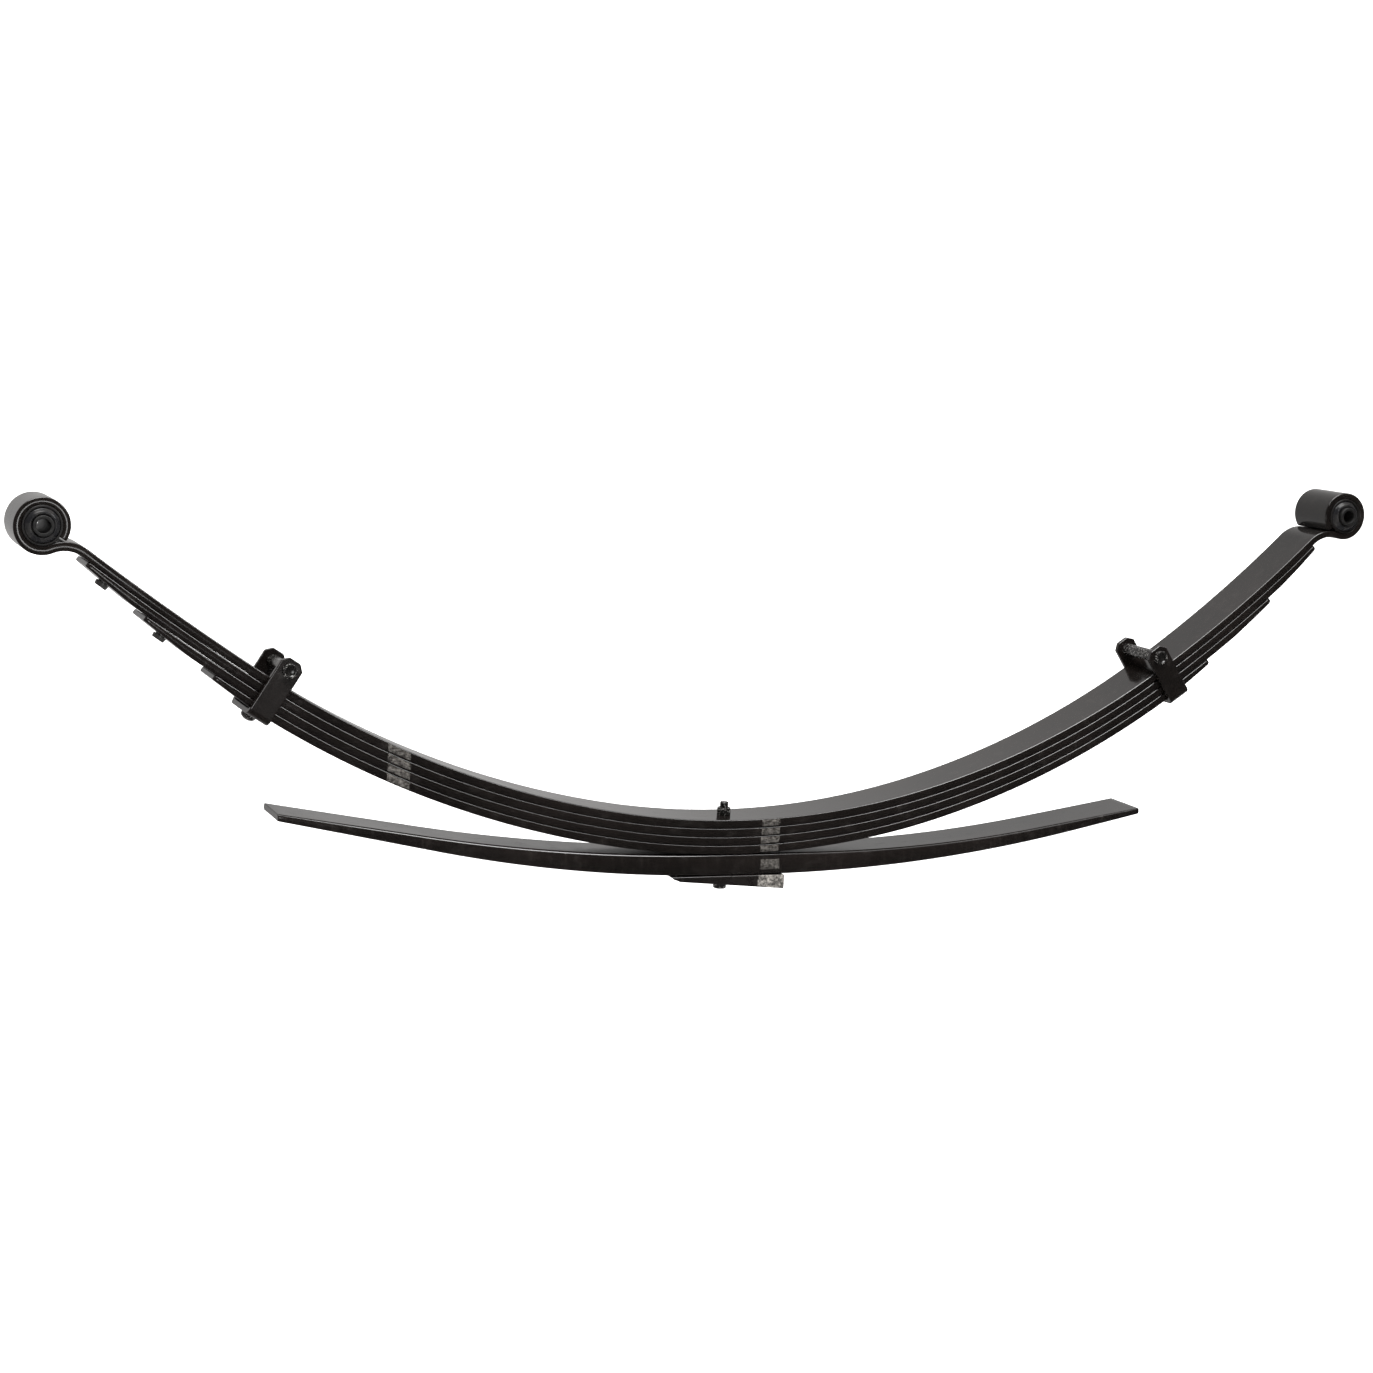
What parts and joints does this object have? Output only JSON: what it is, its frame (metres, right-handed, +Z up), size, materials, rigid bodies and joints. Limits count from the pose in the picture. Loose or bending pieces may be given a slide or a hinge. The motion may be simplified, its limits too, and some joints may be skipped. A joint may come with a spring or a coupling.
{
  "type": "leaf spring",
  "caption": "Semi-elliptic truck leaf spring: stacked leaves under an eyed main leaf, thick overload leaf, taper wedge, rubber-bushed eyes and rebound clips.",
  "frame": {"origin": "where the centre-bolt axis meets the underside of the taper wedge, the axle seat", "axes": "+X along the spring towards the rear eye, +Y across the leaves, +Z up, from the axle towards the eyes"},
  "size_m": [1.5234, 0.0909, 0.4474],
  "materials": {
    "leaf_paint": "semi-gloss black paint",
    "clip_paint": "semi-gloss black paint",
    "fastener_black": "satin black",
    "bushing_rubber": "smooth moulded rubber",
    "bushing_steel": "satin black",
    "insert_plastic": "satin"
  },
  "bodies": {
    "spring_pack": {"main_leaf": "leaf_paint", "second_leaf": "leaf_paint", "third_leaf": "leaf_paint", "fourth_leaf": "leaf_paint", "overload_leaf": "leaf_paint", "taper_wedge": "leaf_paint", "center_bolt": "fastener_black", "center_nut": "fastener_black"},
    "front_eye": {"front_bushing_shell": "bushing_steel", "front_bushing_rubber": "bushing_rubber", "front_second_tip_insert": "insert_plastic", "front_third_tip_insert": "insert_plastic"},
    "front_sleeve": {"front_bushing_sleeve": "bushing_steel"},
    "front_clip": {"front_clip_strap": "clip_paint", "front_clip_bolt": "fastener_black", "front_clip_nut": "fastener_black", "front_clip_spacer": "clip_paint", "front_clip_rivet": "fastener_black"},
    "rear_eye": {"rear_bushing_shell": "bushing_steel", "rear_bushing_rubber": "bushing_rubber", "rear_second_tip_insert": "insert_plastic", "rear_third_tip_insert": "insert_plastic"},
    "rear_sleeve": {"rear_bushing_sleeve": "bushing_steel"},
    "rear_clip": {"rear_clip_strap": "clip_paint", "rear_clip_bolt": "fastener_black", "rear_clip_nut": "fastener_black", "rear_clip_spacer": "clip_paint", "rear_clip_rivet": "fastener_black"}
  },
  "joints": [
    {"name": "front_flex", "type": "hinge", "parent": "spring_pack", "child": "front_eye", "pos_m": [-0.233, 0, 0.154], "axis": [0, -1, 0], "range_deg": [-3, 19], "stiffness_Nm_per_rad": 4400, "deforming": ["main_leaf", "second_leaf", "third_leaf", "fourth_leaf"]},
    {"name": "front_clip_ride", "type": "hinge", "parent": "spring_pack", "child": "front_clip", "pos_m": [-0.31631, 0, 0.16392], "axis": [0, -1, 0], "range_deg": [-4, 24.8]},
    {"name": "front_bushing_twist", "type": "hinge", "parent": "front_eye", "child": "front_sleeve", "pos_m": [-0.73287, 0, 0.37054], "axis": [0, -1, 0], "range_deg": [-28, 28], "stiffness_Nm_per_rad": 60},
    {"name": "rear_flex", "type": "hinge", "parent": "spring_pack", "child": "rear_eye", "pos_m": [0.233, 0, 0.154], "axis": [0, 1, 0], "range_deg": [-3, 22], "stiffness_Nm_per_rad": 4400, "deforming": ["main_leaf", "second_leaf", "third_leaf", "fourth_leaf"]},
    {"name": "rear_clip_ride", "type": "hinge", "parent": "spring_pack", "child": "rear_clip", "pos_m": [0.31588, 0, 0.16752], "axis": [0, 1, 0], "range_deg": [-4, 28.6]},
    {"name": "rear_bushing_twist", "type": "hinge", "parent": "rear_eye", "child": "rear_sleeve", "pos_m": [0.73636, 0, 0.41112], "axis": [0, 1, 0], "range_deg": [-28, 28], "stiffness_Nm_per_rad": 60}
  ],
  "couplings": [
    {"joint": "front_clip_ride", "follows": "front_flex", "ratio": 1.2971},
    {"joint": "rear_clip_ride", "follows": "rear_flex", "ratio": 1.2925}
  ]
}
